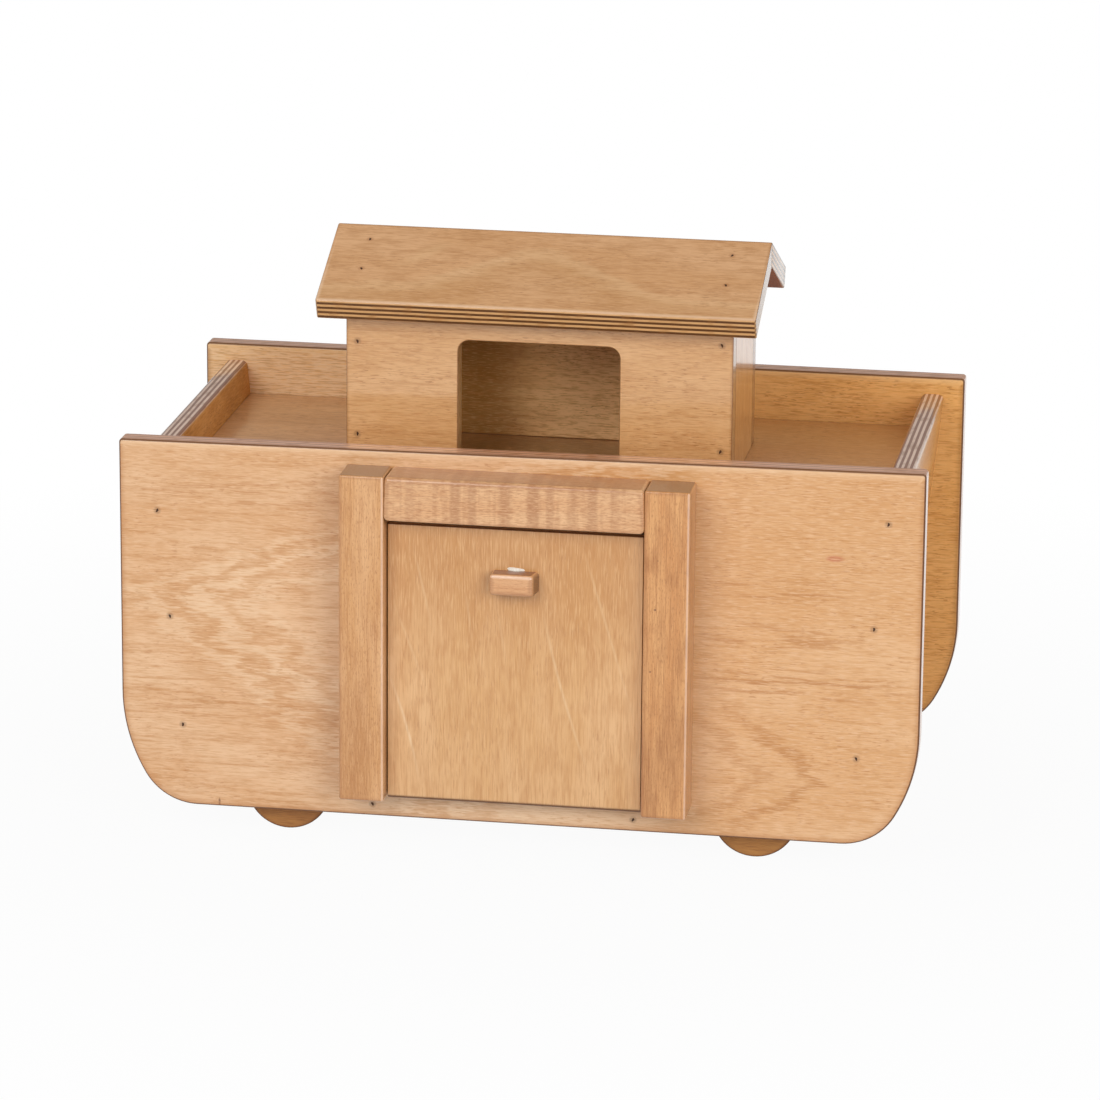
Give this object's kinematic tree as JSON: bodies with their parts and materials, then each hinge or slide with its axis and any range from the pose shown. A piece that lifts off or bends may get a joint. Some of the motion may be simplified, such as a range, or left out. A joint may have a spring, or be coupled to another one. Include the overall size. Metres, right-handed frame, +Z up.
{
  "type": "toy ark",
  "caption": "Wooden toy ark on wheels: plywood hull with raked ends, gabled cabin on the deck and a framed ramp door that drops down to let the animals in.",
  "frame": {"origin": "on the ground under the wheels, in the middle of the footprint (door frame included)", "axes": "+X along the hull to the right seen from the ramp door, -Y out through the ramp door, +Z up"},
  "size_m": [0.42, 0.239, 0.3066],
  "materials": {
    "hull_plywood": "clear satin varnish over sanded plywood, long grain level",
    "deck_plywood": "clear satin varnish over sanded plywood, long grain along the hull",
    "beech": "clear satin varnish over planed beech with rounded edges",
    "door_plywood": "clear satin varnish over sanded plywood, grain upright",
    "cabin_plywood": "clear satin varnish over sanded plywood, long grain level",
    "roof_plywood": "clear satin varnish over sanded plywood, broad sweeping figure",
    "wheel_wood": "clear varnish over a sawn and sanded disc",
    "steel_pin": "drawn steel rod",
    "steel_brad": "darkened steel, punched below the surface"
  },
  "bodies": {
    "hull": {"side_panel_front": "hull_plywood", "side_panel_back": "hull_plywood", "end_board_left": "hull_plywood", "end_board_right": "hull_plywood", "floor_board": "deck_plywood", "deck_board": "deck_plywood", "door_post_left": "beech", "door_post_right": "beech", "door_lintel": "beech", "cabin_wall_front": "cabin_plywood", "cabin_wall_back": "cabin_plywood", "cabin_gable_left": "cabin_plywood", "cabin_gable_right": "cabin_plywood", "roof_panel_front": "roof_plywood", "roof_panel_back": "roof_plywood", "ramp_hinge_pins": "steel_pin", "axle_pins": "steel_pin", "side_brads_front": "steel_brad", "side_brads_back": "steel_brad", "deck_brads": "steel_brad", "cabin_brads_front": "steel_brad", "cabin_brads_back": "steel_brad", "roof_brads": "steel_brad"},
    "ramp": {"ramp_door": "door_plywood", "ramp_handle": "beech"},
    "wheel_front_left": {"wheel_front_left": "wheel_wood"},
    "wheel_front_right": {"wheel_front_right": "wheel_wood"},
    "wheel_back_left": {"wheel_back_left": "wheel_wood"},
    "wheel_back_right": {"wheel_back_right": "wheel_wood"}
  },
  "joints": [
    {"name": "ramp_hinge", "type": "hinge", "parent": "hull", "child": "ramp", "pos_m": [0.0015, -0.1058, 0.0365], "axis": [1, 0, 0], "range_deg": [0, 101]},
    {"name": "wheel_front_left_spin", "type": "hinge", "parent": "hull", "child": "wheel_front_left", "pos_m": [-0.124, -0.078, 0.0225], "axis": [0, 1, 0], "continuous": true},
    {"name": "wheel_front_right_spin", "type": "hinge", "parent": "hull", "child": "wheel_front_right", "pos_m": [0.124, -0.078, 0.0225], "axis": [0, 1, 0], "continuous": true},
    {"name": "wheel_back_left_spin", "type": "hinge", "parent": "hull", "child": "wheel_back_left", "pos_m": [-0.124, 0.1, 0.0225], "axis": [0, 1, 0], "continuous": true},
    {"name": "wheel_back_right_spin", "type": "hinge", "parent": "hull", "child": "wheel_back_right", "pos_m": [0.124, 0.1, 0.0225], "axis": [0, 1, 0], "continuous": true}
  ]
}
